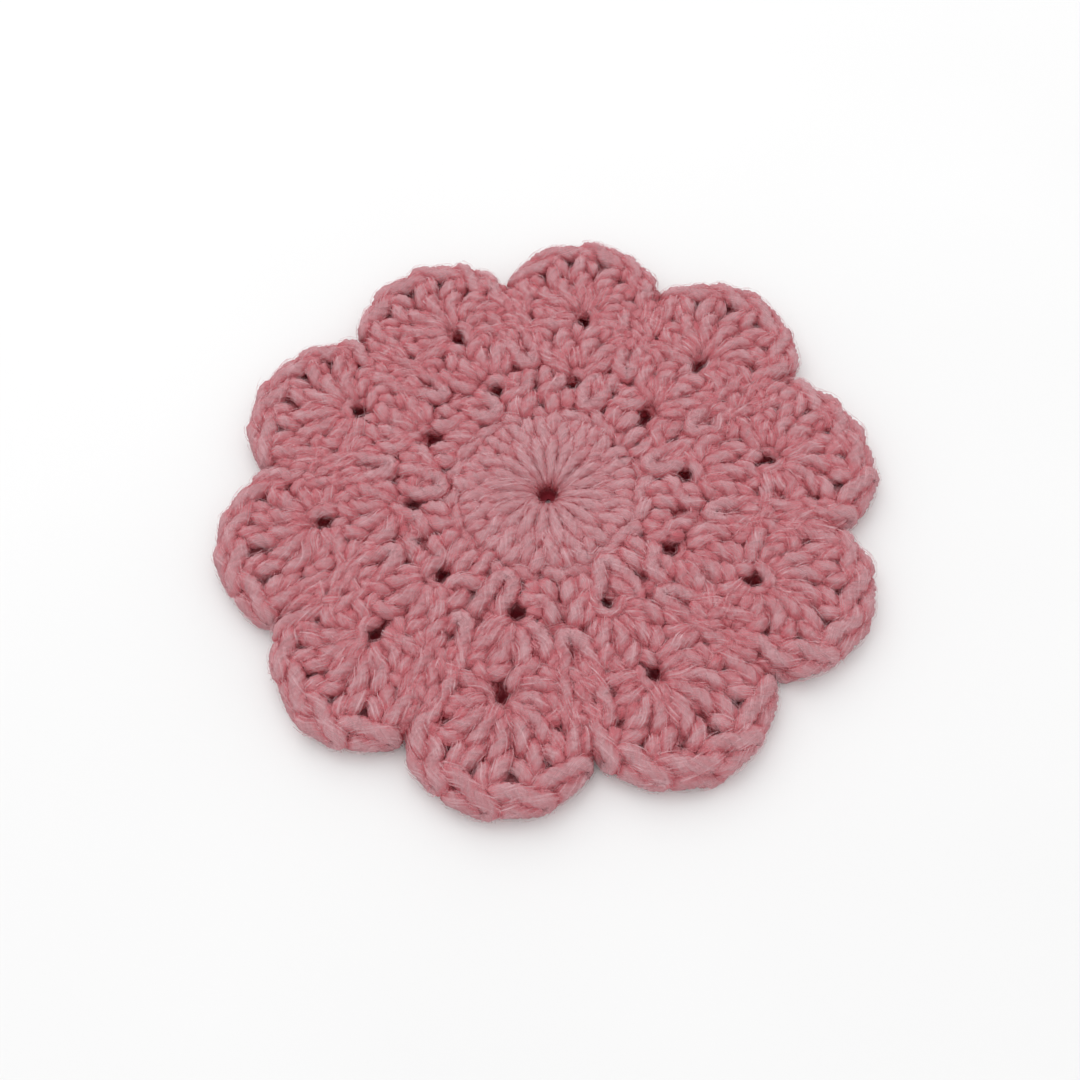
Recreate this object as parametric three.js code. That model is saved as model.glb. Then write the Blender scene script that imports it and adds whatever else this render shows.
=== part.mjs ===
import * as THREE from 'three';

// A round crochet coaster in thick pink yarn, worked outwards from a ring in four rounds of tall stitches.
// Millimetres, +Z up. The origin is on the surface that it lies on, under the ring that the work starts from.

// Driving dimensions
const repeats = 10;            // the pattern repeats ten times round, once for each petal
const firstRepeat = 108.3;     // degrees, the middle of the first repeat
const ringHole = 2.2;          // radius of the hole in the starting ring
const groundHeight = 3.3;      // the work's top between its stitches
const stitchRelief = 1.7;      // how far a stitch stands above that at its fullest
const slimmest = 0.45;         // share of that relief left where a stitch is slimmest
const thinnest = 1.0;          // what is left under the deepest dimple
const edgeHeight = 4.5;        // top of the rope of loops along the edge
const edgeWidth = 3.2;         // width of that rope
const edgeFurrow = 0.4;        // how far the furrow inside the rope lies under the ground
const edgeBulge = 1.7;         // height at which the edge is widest
const edgeUndercut = 1.3;      // how far the underside stops short of the edge
const loopScallop = 0.35;      // how far each loop of the rope stands out along the edge
const handUnevenness = 0.28;   // slow rise and fall of hand-made work
const holePoints = 40;         // points round the starting ring's hole
const undersideRing = { radius: 40, points: 90 };

// The rounds, from the centre. Posts: upright stitches in a repeat. Feet: share of the repeat that their feet
// fill, since a shell fans out of one hole. Turn: degrees that the round has wandered on at its foot and top.
const rounds = [
  { name: 'ring', posts: 2, foot: 3.4, top: 16.3, feet: 1.0, turnFoot: -5.0, turnTop: 0.0, bands: 4, samples: 4 },
  { name: 'pairs', posts: 2, foot: 17.8, top: 25.4, feet: 0.8, turnFoot: 0.0, turnTop: 0.0, bands: 3, samples: 4 },
  { name: 'shells', posts: 4, foot: 27.2, top: 36.6, feet: 0.6, turnFoot: 0.4, turnTop: 1.9, bands: 4, samples: 4 },
  { name: 'petals', posts: 9, foot: 40.2, top: 49.5, feet: 0.72, turnFoot: 2.2, turnTop: 4.6, bands: 4, samples: 3 },
];

// The gaps between stitches, from the centre. Side: 0 in the middle of a repeat, 0.5 between two repeats.
const gapRings = [
  { name: 'chain spaces of the pairs', radius: 23.4, side: 0.0, turn: 0.0, width: 1.9, depth: 2.9 },
  { name: 'slots between the shells', radius: 31.0, side: 0.5, turn: 1.0, width: 2.1, depth: 2.4 },
  { name: 'chain spaces of the shells', radius: 38.1, side: 0.0, turn: 1.9, width: 2.0, depth: 2.9 },
  { name: 'hollows between the petals', radius: 44.5, side: 0.5, turn: 4.4, width: 2.2, depth: 0.9 },
];

// The petals, counter-clockwise: degrees and radius of each tip, and of the notch that follows it
const petals = [
  { tipAt: 111.5, tip: 58.0, notchAt: 130.4, notch: 50.0 },
  { tipAt: 148.5, tip: 57.5, notchAt: 167.9, notch: 50.4 },
  { tipAt: 186.5, tip: 57.0, notchAt: 203.7, notch: 51.2 },
  { tipAt: 223.5, tip: 56.8, notchAt: 238.9, notch: 50.2 },
  { tipAt: 256.5, tip: 58.0, notchAt: 273.6, notch: 49.4 },
  { tipAt: 292.5, tip: 57.5, notchAt: 310.9, notch: 49.8 },
  { tipAt: 325.8, tip: 57.4, notchAt: 345.3, notch: 50.6 },
  { tipAt: 358.0, tip: 56.0, notchAt: 383.0, notch: 49.4 },
  { tipAt: 400.5, tip: 57.9, notchAt: 419.6, notch: 48.7 },
  { tipAt: 436.2, tip: 58.0, notchAt: 454.8, notch: 48.0 },
];
const lobeFlatness = 2.1;      // higher makes a petal's tip broader
const lobeShoulder = 0.82;     // lower makes the notches narrower

const radians = THREE.MathUtils.degToRad;
const mix = THREE.MathUtils.lerp;
const wrap = THREE.MathUtils.euclideanModulo;

// The edge's radius at an angle in degrees: each petal is a lobe between two notches
function edgeRadius(degrees) {
  const start = petals.at(-1).notchAt - 360;
  const angle = start + wrap(degrees - start, 360);
  const index = petals.findIndex((petal) => angle <= petal.notchAt);
  const petal = petals[index];
  const before = petals.at(index - 1);
  const falling = angle > petal.tipAt;
  const notchAt = falling ? petal.notchAt : before.notchAt - (index === 0 ? 360 : 0);
  const notch = falling ? petal.notch : before.notch;
  const share = Math.min(1, (angle - petal.tipAt) / (notchAt - petal.tipAt));
  return mix(notch, petal.tip, (1 - share ** lobeFlatness) ** lobeShoulder);
}

// Hand-made work rises and falls slowly across its face
function unevenness(x, y) {
  return handUnevenness * (Math.sin(x / 9 + 0.7) * Math.cos(y / 11 - 0.4) + 0.5 * Math.sin((x - y) / 6));
}

// How far the gaps between stitches sink the face at a point
function gapDepth(x, y) {
  let depth = 0;
  for (const ring of gapRings) {
    for (let repeat = 0; repeat < repeats; repeat += 1) {
      const angle = radians(firstRepeat + ring.turn + ((repeat + ring.side) * 360) / repeats);
      const distance = Math.hypot(x - ring.radius * Math.cos(angle), y - ring.radius * Math.sin(angle));
      depth += ring.depth * Math.exp(-((distance / ring.width) ** 2));
    }
  }
  return depth;
}

// One closed ring of points across a round's stitches. Share runs from 0 at their feet to 1 at their tops.
function stitchRing(round, share, radiusAt, heightAt) {
  const points = [];
  const repeatAngle = 360 / repeats;
  const columns = round.posts * round.samples;
  const fan = mix(round.feet, 1, Math.sqrt(share));
  const turn = mix(round.turnFoot, round.turnTop, share);
  for (let repeat = 0; repeat < repeats; repeat += 1) {
    for (let column = 0; column < columns; column += 1) {
      const across = column === 0 ? -0.5 : (column / columns - 0.5) * fan;
      const degrees = firstRepeat + turn + (repeat + across) * repeatAngle;
      const ridge = Math.sin((Math.PI * (column % round.samples)) / round.samples);
      const radius = radiusAt(degrees, ridge);
      const x = radius * Math.cos(radians(degrees));
      const y = radius * Math.sin(radians(degrees));
      points.push(new THREE.Vector3(x, y, heightAt(x, y, ridge)));
    }
  }
  return points;
}

// The face over one round: ridges that swell along each post, and sink at the gaps
function faceRings(round) {
  const rings = [];
  for (let band = 0; band <= round.bands; band += 1) {
    const share = band / round.bands;
    const swell = mix(slimmest, 1, Math.sin(Math.PI * mix(0.2, 0.85, share)));
    const radiusAt = () => mix(round.foot, round.top, share);
    const heightAt = (x, y, ridge) => {
      const height = groundHeight + stitchRelief * ridge * swell + unevenness(x, y) - gapDepth(x, y);
      return Math.max(thinnest, height);
    };
    rings.push(stitchRing(round, share, radiusAt, heightAt));
  }
  return rings;
}

// The rope of loops along the edge, from the furrow inside it to where the underside begins
function edgeRings(round) {
  const profile = [
    { inset: edgeWidth * 1.25, height: groundHeight - edgeFurrow, ripple: 0.5 },
    { inset: edgeWidth * 0.75, height: edgeHeight, ripple: 0.35 },
    { inset: edgeWidth * 0.25, height: edgeHeight - edgeFurrow, ripple: 0.35 },
    { inset: 0, height: edgeBulge, ripple: 0 },
    { inset: edgeUndercut, height: 0, ripple: 0 },
  ];
  return profile.map(({ inset, height, ripple }) => {
    const radiusAt = (degrees, ridge) => edgeRadius(degrees) - inset + loopScallop * (ridge - 0.5);
    const heightAt = (x, y, ridge) => height + ripple * (ridge + unevenness(x, y));
    return stitchRing(round, 1, radiusAt, heightAt);
  });
}

// A level ring of points, for the starting ring's hole and the underside
function levelRing(radius, height, count) {
  return Array.from({ length: count }, (_, index) => {
    const angle = radians(firstRepeat + (360 * index) / count);
    return new THREE.Vector3(radius * Math.cos(angle), radius * Math.sin(angle), height);
  });
}

// A ring's points in order round the centre, with the first one repeated a turn later
function unwound(ring) {
  const turned = (point) => wrap(Math.atan2(point.y, point.x) - radians(firstRepeat), 2 * Math.PI);
  const points = [...ring].sort((a, b) => turned(a) - turned(b));
  const angles = points.map(turned);
  return { points: [...points, points[0]], angles: [...angles, angles[0] + 2 * Math.PI] };
}

// Each ring is joined to the next by a band of triangles, and the last to the first, so the solid is closed
function solidFromRings(rings) {
  const positions = [];
  const triangle = (a, b, c) => positions.push(...a.toArray(), ...b.toArray(), ...c.toArray());
  rings.forEach((ring, index) => {
    const inner = unwound(ring);
    const outer = unwound(rings[(index + 1) % rings.length]);
    const innerLast = inner.points.length - 1;
    const outerLast = outer.points.length - 1;
    let i = 0;
    let o = 0;
    while (i < innerLast || o < outerLast) {
      const innerIsNext = o === outerLast || (i < innerLast && inner.angles[i + 1] < outer.angles[o + 1]);
      if (innerIsNext) {
        triangle(inner.points[i], outer.points[o], inner.points[i + 1]);
        i += 1;
      } else {
        triangle(inner.points[i], outer.points[o], outer.points[o + 1]);
        o += 1;
      }
    }
  });
  const geometry = new THREE.BufferGeometry();
  geometry.setAttribute('position', new THREE.Float32BufferAttribute(positions, 3));
  geometry.computeVertexNormals();
  return geometry;
}

function coaster() {
  const rings = [
    levelRing(ringHole, 0, holePoints),
    levelRing(ringHole, groundHeight - edgeFurrow, holePoints),
    ...rounds.flatMap(faceRings),
    ...edgeRings(rounds.at(-1)),
    levelRing(undersideRing.radius, 0, undersideRing.points),
  ];
  const yarn = new THREE.MeshStandardMaterial({ color: 0xb8737f, roughness: 0.95, metalness: 0 });
  const mesh = new THREE.Mesh(solidFromRings(rings), yarn);
  mesh.name = 'coaster';
  return mesh;
}

const part = new THREE.Group();
part.add(coaster());
export default part;
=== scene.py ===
import math

import bmesh
import bpy
import numpy as np
from mathutils import Matrix, Vector
from mathutils.kdtree import KDTree


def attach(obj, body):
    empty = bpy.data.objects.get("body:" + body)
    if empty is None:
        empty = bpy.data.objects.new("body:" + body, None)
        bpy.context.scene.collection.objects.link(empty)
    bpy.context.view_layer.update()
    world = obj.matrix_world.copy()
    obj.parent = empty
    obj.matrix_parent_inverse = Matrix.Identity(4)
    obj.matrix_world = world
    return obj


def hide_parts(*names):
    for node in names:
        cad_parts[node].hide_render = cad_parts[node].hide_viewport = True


# A round crochet coaster, made stitch by stitch from one thickness of plied yarn. The yarn's path is laid out in
# millimetres round by round, settled so that the strands press on each other, and swept into plied strands.

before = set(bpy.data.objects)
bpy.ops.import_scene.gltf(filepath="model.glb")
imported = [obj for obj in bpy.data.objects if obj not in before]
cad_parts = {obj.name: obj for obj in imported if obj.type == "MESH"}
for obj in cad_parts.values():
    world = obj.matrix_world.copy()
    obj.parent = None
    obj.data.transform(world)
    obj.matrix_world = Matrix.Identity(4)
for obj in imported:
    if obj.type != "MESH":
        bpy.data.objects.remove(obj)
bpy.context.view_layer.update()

MM = 0.001
TINY = 1e-9
RNG = np.random.default_rng(20)

# The pattern, as in the part: ten repeats, the first one's middle at this angle in degrees
REPEATS = 10
FIRST_REPEAT = 108.3
REPEAT_ANGLE = 360 / REPEATS

# The petals, counter-clockwise: degrees and radius in mm of each tip, and of the notch that follows it
PETALS = [
    {"tip_at": 111.5, "tip": 58.0, "notch_at": 130.4, "notch": 50.0},
    {"tip_at": 148.5, "tip": 57.5, "notch_at": 167.9, "notch": 50.4},
    {"tip_at": 186.5, "tip": 57.0, "notch_at": 203.7, "notch": 51.2},
    {"tip_at": 223.5, "tip": 56.8, "notch_at": 238.9, "notch": 50.2},
    {"tip_at": 256.5, "tip": 58.0, "notch_at": 273.6, "notch": 49.4},
    {"tip_at": 292.5, "tip": 57.5, "notch_at": 310.9, "notch": 49.8},
    {"tip_at": 325.8, "tip": 57.4, "notch_at": 345.3, "notch": 50.6},
    {"tip_at": 358.0, "tip": 56.0, "notch_at": 383.0, "notch": 49.4},
    {"tip_at": 400.5, "tip": 57.9, "notch_at": 419.6, "notch": 48.7},
    {"tip_at": 436.2, "tip": 58.0, "notch_at": 454.8, "notch": 48.0},
]
LOBE_FLATNESS = 2.1
LOBE_SHOULDER = 0.82
EDGE_POINTS = 121

# The yarn, in mm
YARN_RADIUS = 1.65
SLIMMEST_RADIUS = 0.4
MID_HEIGHT = 2.6
TOP_HEIGHT = 5.4
PLIES = 5
PLY_DEPTH = 0.16
PLY_ROUNDNESS = 1.4
PLY_SIDES = 3
PLY_PITCH = 8.5
SECTION_STEP = 0.7
PATH_STEP = 1.3

# Each round's loop of yarn, from the middle outwards, and the number of lengths that it is cut into
YARN_PIECES = {"yarn_start": 1, "yarn_ring": 1, "yarn_pairs": 1, "yarn_shells": 1, "yarn_petals": 2}
CUT_SEARCH = 20

# The strand is slimmer where a stitch draws in at its foot, and in a tall stitch. Towards the middle of the work it is
# drawn out, to DRAWN_THICKNESS at the radii DRAWN_AT, in mm.
FOOT_SLIMNESS = 0.35
TALL_SLIMNESS = 0.92
DRAWN_WITHIN = 14.0
DRAWN_AT = (2.2, 5.0, 9.0, 13.0)
DRAWN_THICKNESS = (1.2, 2.1, 2.8, 2 * YARN_RADIUS)

# How unevenly the stitches stand and lie, in mm. BEND is a share of a tall stitch's height.
SWAY = 0.35
BEND = 0.05
LEAN = 0.6
SHAKE = 0.15
LINK_SHAKE = 0.10

# Settling: how near in mm strands look for each other, how far they press into each other and fill the room between
# them, how low a strand's middle may lie as a share of its thickness, and how strongly each force moves it in a turn
NEAR = 3.2
SQUASH = 0.61
FILL = 0.92
LOWEST = 0.4
SETTLING_TURNS = 80
TURNS_A_SEARCH = 8
PUSH = 0.35
SMOOTHING = 0.14
HOLD = 0.04
OPENING_ROOM = 0.35
OPENING_PUSH = 0.4
NOT_ZERO = 1e-6
RADIUS_PASSES = 3
CURVE_STEPS = 8

# The yarn's colours: its own pale, clouded and striped tones, and painted shade for the ply grooves, the creases, the
# fuzz and the low places
YARN_PALE = (0.58, 0.357, 0.38, 1)
YARN_CLOUD = (0.545, 0.295, 0.318, 1)
# Darker stripes of fibre, also painted shade in the grooves between the plies
YARN_STRIPE_AND_GROOVE_SHADE = (0.51, 0.224, 0.245, 1)
# Painted shade in the creases between strands
YARN_PAINTED_CREASE_SHADE = (0.515, 0.135, 0.157, 1)
# Painted shade on the fuzz, and the darker loose fibres' own colour
YARN_PAINTED_SHADE_AND_DARK_FIBRE = (0.51, 0.12, 0.14, 1)
# Painted shade low between the stitches
YARN_PAINTED_DEEP_SHADE = (0.38, 0.03, 0.042, 1)
# Painted shade on the ground sheet, low down
GROUND_PAINTED_SHADE = (0.26, 0.015, 0.028, 1)
YARN_ROUGHNESS = 0.95

# Painted crease shade, in mm: how far from the next strand it reaches, how much clearer the first round counts, and
# how much closer a steep side does, painting shade on it. A side gets steep as its normal's height falls below
# STEEP_BELOW.
CREASE_WIDTH = 1.0
OPEN_CLEARANCE = 2.0
RING_CREASE_SHADE_EASING = 0.4
SIDE_SHADE = 1.05
STEEP_BELOW = 0.8

# What counts as deep in the work, where the yarn gets painted shade, in mm: inwards from the edge, down from the top
# and up from the table, and how far each of them fades
EDGE_MARGIN = 1.0
EDGE_FADE = 2.5
DEEP_BELOW = 4.5
DEEP_FADE = 2.6
UNDER_ABOVE = 0.5
UNDER_FADE = 0.9

# The fibre pattern on a strand: how far round it goes, and how far along it runs for each mm
FIBRE_ROUND = 1.2
YARN_FIBRE_RUN = 0.15
FUZZ_FIBRE_RUN = 0.04

# The fuzz round the yarn, in mm
FUZZ_DEPTH = 0.42
FUZZ_SIDES = 8
FUZZ_STEP = 1.0
FUZZ_PITCH = -26.0

# The loose fibres, in mm. Most are where the yarn lies high. Of a lying fibre's three points, each has a share of its
# length and a clearance from the strand; a loose one stands off at one end. The others bridge a crease.
FIBRE_PIECES = 2
FIBRES_A_PIECE = 10000
FIBRE_RADIUS = 0.028
FIBRE_THICKNESSES = (0.6, 1.2)
FIBRE_LENGTH = (1.2, 2.8)
FIBRE_SPREAD = 0.8
FIBRE_RISE = 0.9
FIBRE_SLANT = 0.7
FIBRE_POINTS = ((-0.5, -0.02), (0.0, 0.09), (0.5, 0.0))
LEAST_FIBRES = 0.1
LEAST_BEND_RADIUS = 0.6
LOWEST_FIBRE = 0.1
HIGHEST_FIBRE = TOP_HEIGHT + 1.0
LOOSE_SHARE = 0.12
LOOSE_LIFT = 0.5
LOOSE_STRAY = 0.45
BRIDGE_SHARE = 0.45
BRIDGE_SLIDE = 0.5
BRIDGE_LEAN = 0.8
BRIDGE_LIFT = 0.15

# The closed ground under the stitches, in mm: it waves a little, and dips round the openings
GROUND_HOLE = 0.45
GROUND_INSET = 3.2
GROUND_HEIGHT = 2.5
GROUND_THICKNESS = 0.4
GROUND_SIDES = 200
GROUND_RINGS = 50
GROUND_WAVE = 0.15
GROUND_WAVE_TURN = 0.9
GROUND_DIMPLE = 2.0
DIMPLE_INSIDE = 0.2
DIMPLE_FADE = 1.4

# Where the rounds' stitches stand: radii in mm, angles in degrees, counter-clockwise from the middle of a repeat
RING_RADIUS = 3.4
RING_THICKNESS = 1.0
RING_STEP = 20
FIRST_FEET = 1.7
FIRST_HEADS = 15.8
FIRST_LEAN = 4
FIRST_UNEVENNESS = 1.6
PAIR_FEET = 17.3
PAIR_HEADS = 23.8
PAIR_FEET_AT = (-9.5, 8.5)
PAIR_HEADS_AT = (-9.0, 9.0)
PAIR_FEET_UNEVENNESS = 0.4
PAIR_HEADS_UNEVENNESS = 0.5
PAIR_TURN_UNEVENNESS = 1.2
PAIR_CHAIN = 24.4
PAIR_KINDS = ("wrapped", "short", "mirrored", "wrapped", "short", "wrapped", "mirrored")
SHELL_HOLE = 23.9
SHELL_HOLE_AT = 0.5
SHELL_DIRECTIONS = (-35.5, -7.5, 20.5, 48.5)
SHELL_REACH = (14.0, 13.0, 13.0, 14.0)
SHELL_CHAIN = 39.6
PETAL_HOLE = 38.4
PETAL_HOLE_AT = 2.2
PETAL_STITCHES = 7
PETAL_FAN = 27.0
PETAL_SIDE_REACH = 10.6
FAN_RADIUS = 2.0
BETWEEN_FEET = 28.6
BETWEEN_HEADS = 41.0
BETWEEN_AT = 19.0
EDGE_INSET = 4.5

# The openings that the stitches are drawn open round. In each repeat: radius, angle, and the opening's own radius
OPENINGS = [
    (SHELL_HOLE - 0.5, SHELL_HOLE_AT, 1.65),
    (PETAL_HOLE - 0.4, PETAL_HOLE_AT, 1.5),
    (31.0, BETWEEN_AT, 0.9),
    (23.3, 18.0, 0.8),
]
MIDDLE_OPENING = 1.9
GAP_OPENING = 0.7
GAP_INSET = 1.6
DEEP_OPENING = 1.0

# How far the stitches dip, in mm: at the seam between the first two rounds, and into the openings
SEAM_RADIUS = 16.5
SEAM_DEPTH = 0.5
HOLE_DEPTH = 1.3
HOLE_REACH = 1.3

# A tall stitch, as the yarn runs: across it in mm (counter-clockwise), up it as a share, and height in mm from the
# work's middle. Twice it goes down behind, through the foot and up in front; then it wraps across, and comes up again.
TALL = [
    (0.4, 0.84, -1.4), (0.9, 0.60, -1.7), (0.7, 0.30, -1.6), (0.3, 0.02, -1.3), (0.2, -0.07, 0.0),
    (0.6, 0.06, 1.2), (1.1, 0.20, 1.6), (1.3, 0.36, 1.6), (0.9, 0.50, 1.4), (0.1, 0.62, 0.8), (-0.6, 0.70, -0.3),
    (-0.9, 0.50, -1.3), (-0.8, 0.25, -1.6), (-0.4, 0.02, -1.3), (-0.2, -0.07, 0.0),
    (-0.6, 0.06, 1.1), (-1.2, 0.20, 1.5), (-1.5, 0.36, 1.4), (-1.4, 0.50, 0.8), (-1.0, 0.60, -0.3),
    (0.2, 0.52, -1.0), (1.5, 0.44, -0.8),
    (2.0, 0.52, 0.6), (1.7, 0.64, 1.6), (0.9, 0.76, 2.0), (0.0, 0.87, 1.8), (-0.6, 0.97, 0.9), (-0.8, 1.04, -0.3),
    (-1.2, 0.84, -1.2), (-1.9, 0.66, -0.7),
    (-2.2, 0.70, 0.6), (-1.8, 0.84, 1.5), (-1.1, 0.96, 1.3), (-0.3, 1.05, 0.2), (0.4, 0.98, -1.0),
]
# The first round's, drawn out: one leg lies over the other towards the ring
LONG = [
    (0.2, 0.84, -1.5), (0.5, 0.55, -1.6), (0.3, 0.20, -1.5), (0.1, 0.02, -1.3), (0.0, -0.05, 0.0),
    (0.2, 0.05, 1.3), (0.3, 0.20, 1.7), (0.5, 0.38, 1.8), (0.6, 0.54, 1.7), (0.3, 0.68, 1.3), (-0.3, 0.80, 0.2),
    (-0.6, 0.55, -1.3), (-0.4, 0.20, -1.5), (-0.1, 0.02, -1.2), (0.0, -0.05, 0.0),
    (-0.1, 0.08, 0.3), (-0.5, 0.22, 0.4), (-0.9, 0.34, 0.6), (-1.2, 0.46, 1.2), (-1.3, 0.62, 1.6),
    (-1.1, 0.80, 1.7), (-0.7, 0.95, 1.3), (-0.3, 1.04, 0.0),
    (0.4, 0.85, -1.2), (1.2, 0.60, -0.8), (1.5, 0.58, 0.3), (1.3, 0.68, 1.3), (1.0, 0.82, 1.7),
    (0.5, 0.95, 1.3), (0.2, 1.04, -0.2), (0.0, 0.90, -1.2),
]
# A short stitch: its front is an arch over the foot, with two legs that part
SHORT = [
    (0.9, 0.84, -1.5), (0.6, 0.40, -1.7), (0.3, 0.00, -1.5), (0.1, -0.10, -0.4),
    (0.0, 0.20, 0.0), (0.0, 0.55, 0.3), (0.3, 0.90, 0.2), (1.1, 1.20, -0.9),
    (2.6, 1.30, 0.3), (2.6, 1.05, 1.5), (2.2, 0.70, 2.0), (1.8, 0.35, 2.1), (1.3, 0.00, 2.0), (0.0, -0.20, 1.9),
    (-1.3, 0.00, 2.0), (-1.7, 0.35, 2.1), (-2.1, 0.70, 2.0), (-2.6, 1.05, 1.4), (-2.6, 1.30, 0.2), (-1.2, 1.20, -0.9),
    (-0.8, 0.80, -1.5), (-0.4, 0.40, -1.6), (0.0, 0.90, -1.6),
]
# A short stitch with a wrap: two legs side by side, the wrap slanting over both, and a stroke beside its upper end
WRAPPED = [
    (0.4, 0.84, -1.5), (0.8, 0.45, -1.7), (0.5, 0.05, -1.4), (0.3, -0.22, 0.0),
    (0.9, -0.08, 1.5), (1.5, 0.18, 1.8), (1.7, 0.45, 1.3), (1.5, 0.70, 0.0),
    (0.2, 0.60, -1.5), (-0.6, 0.20, -1.6), (-0.6, -0.20, -0.4),
    (-1.0, -0.12, 1.3), (-1.7, 0.15, 1.8), (-1.9, 0.45, 1.5), (-1.8, 0.72, 0.3), (-0.6, 0.75, -1.4),
    (1.2, 0.50, -1.4), (2.6, 0.30, -0.6),
    (2.7, 0.42, 1.0), (1.9, 0.58, 2.2), (0.6, 0.76, 2.5), (-0.8, 0.92, 2.3), (-2.0, 1.10, 1.5), (-2.6, 1.25, 0.2),
    (-1.6, 1.15, -1.2), (0.2, 1.00, -1.6),
    (1.6, 0.85, -0.9), (2.3, 0.95, 0.8), (1.6, 1.10, 1.7), (0.6, 1.25, 1.2), (0.0, 1.30, -0.2),
    (0.0, 0.95, -1.5),
]
# A chain stitch is nothing but the loop to the next stitch
PATTERNS = {"tall": TALL, "long": LONG, "short": SHORT, "wrapped": WRAPPED, "mirrored": WRAPPED, "chain": []}
FULL_WIDTH_FROM = 0.5
# The loop that closes each stitch and reaches to the next one: along to the next as a share, across in mm,
# outwards from the head in mm, and height in mm. Its inner arm lies on top, its outer arm lower and further out.
LINK = [
    (0.0, -1.2, -0.6, -0.9), (0.0, -1.9, -0.5, 0.2), (0.0, -1.1, -0.2, 1.4), (0.25, 0.0, 0.1, 1.9),
    (0.6, 0.0, 0.5, 2.0), (0.9, 0.0, 0.8, 1.9), (1.0, 1.2, 1.0, 1.1), (1.0, 2.0, 1.2, -0.3),
    (1.0, 1.6, 1.5, -1.4), (1.0, 0.6, 2.1, -1.1), (0.85, 0.0, 2.6, -0.3), (0.6, 0.0, 2.7, 0.2),
    (0.3, 0.0, 2.4, 0.2), (0.0, -0.6, 2.1, -0.5), (0.0, -1.0, 1.5, -1.4), (0.3, 0.0, 1.0, -1.6), (0.7, 0.0, 0.8, -1.6),
]
LINK_BULGE = 0.04


# Layout

def edge_radius(degrees):
    """The edge's radius at an angle: each petal is a lobe between two notches."""
    start = PETALS[-1]["notch_at"] - 360
    angle = start + (degrees - start) % 360
    index = next(i for i, petal in enumerate(PETALS) if angle <= petal["notch_at"])
    petal, before = PETALS[index], PETALS[index - 1]
    falling = angle > petal["tip_at"]
    notch_at = petal["notch_at"] if falling else before["notch_at"] - (360 if index == 0 else 0)
    notch = petal["notch"] if falling else before["notch"]
    share = min(1.0, (angle - petal["tip_at"]) / (notch_at - petal["tip_at"]))
    return notch + (petal["tip"] - notch) * (1 - share ** LOBE_FLATNESS) ** LOBE_SHOULDER


def repeat_middle(repeat):
    """The angle of a repeat's middle."""
    return FIRST_REPEAT + repeat * REPEAT_ANGLE


def polar(radius, degrees):
    return np.array([radius * math.cos(math.radians(degrees)), radius * math.sin(math.radians(degrees))])


def unit(vector):
    return vector / max(np.linalg.norm(vector), TINY)


def unit_rows(rows, tiny=0.0):
    return rows / (np.linalg.norm(rows, axis=1, keepdims=True) + tiny)


def smoothstep(value):
    value = min(1.0, max(0.0, value))
    return value * value * (3 - 2 * value)


def inset_edge(from_degrees, to_degrees):
    """Points along the edge between two angles, moved inwards to where the outer stitches' heads are."""
    angles = np.linspace(from_degrees, to_degrees, EDGE_POINTS)
    line = np.array([polar(edge_radius(angle), angle) for angle in angles])
    along = unit_rows(np.gradient(line, axis=0))
    return line + EDGE_INSET * np.column_stack([-along[:, 1], along[:, 0]])


def stitch(kind, foot, head, spread=1.0, lift=1.0):
    """One stitch: foot and head in the work's plane, its foot's share of its width, and its top loop's lift."""
    return {"kind": kind, "foot": foot, "head": head, "spread": spread, "lift": lift}


def first_round():
    step = REPEAT_ANGLE / 2
    turns = [FIRST_REPEAT + step * i + RNG.normal(0, FIRST_UNEVENNESS) for i in range(2 * REPEATS)]
    ends = [(polar(FIRST_FEET, turn), polar(FIRST_HEADS, turn + FIRST_LEAN)) for turn in turns]
    return [stitch("long", foot, head, spread=0.25, lift=0.0) for foot, head in ends]


def uneven_polar(radius, radius_unevenness, degrees):
    """A place in the second round, a little off its radius and its angle."""
    return polar(radius + RNG.normal(0, radius_unevenness), degrees + RNG.normal(0, PAIR_TURN_UNEVENNESS))


def pair_round():
    stitches = []
    for repeat in range(REPEATS):
        middle = repeat_middle(repeat)
        for side in (0, 1):
            kind = PAIR_KINDS[(2 * repeat + side) % len(PAIR_KINDS)]
            foot = uneven_polar(PAIR_FEET, PAIR_FEET_UNEVENNESS, middle + PAIR_FEET_AT[side])
            head = uneven_polar(PAIR_HEADS, PAIR_HEADS_UNEVENNESS, middle + PAIR_HEADS_AT[side])
            stitches.append(stitch(kind, foot, head, spread=0.9, lift=0.0))
            if side == 0:
                chain = polar(PAIR_CHAIN, middle + SHELL_HOLE_AT)
                stitches.append(stitch("chain", chain, chain, lift=0.0))
    return stitches


def shell_round():
    stitches = []
    for repeat in range(REPEATS):
        middle = repeat_middle(repeat)
        hole = polar(SHELL_HOLE, middle + SHELL_HOLE_AT)
        for place, (direction, reach) in enumerate(zip(SHELL_DIRECTIONS, SHELL_REACH)):
            foot, head = hole + polar(FAN_RADIUS, middle + direction), hole + polar(reach, middle + direction)
            stitches.append(stitch("tall", foot, head, spread=0.4, lift=0.7))
            if place == 1:
                chain = polar(SHELL_CHAIN, middle + PETAL_HOLE_AT)
                stitches.append(stitch("chain", chain, chain, lift=0.0))
    return stitches


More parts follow.
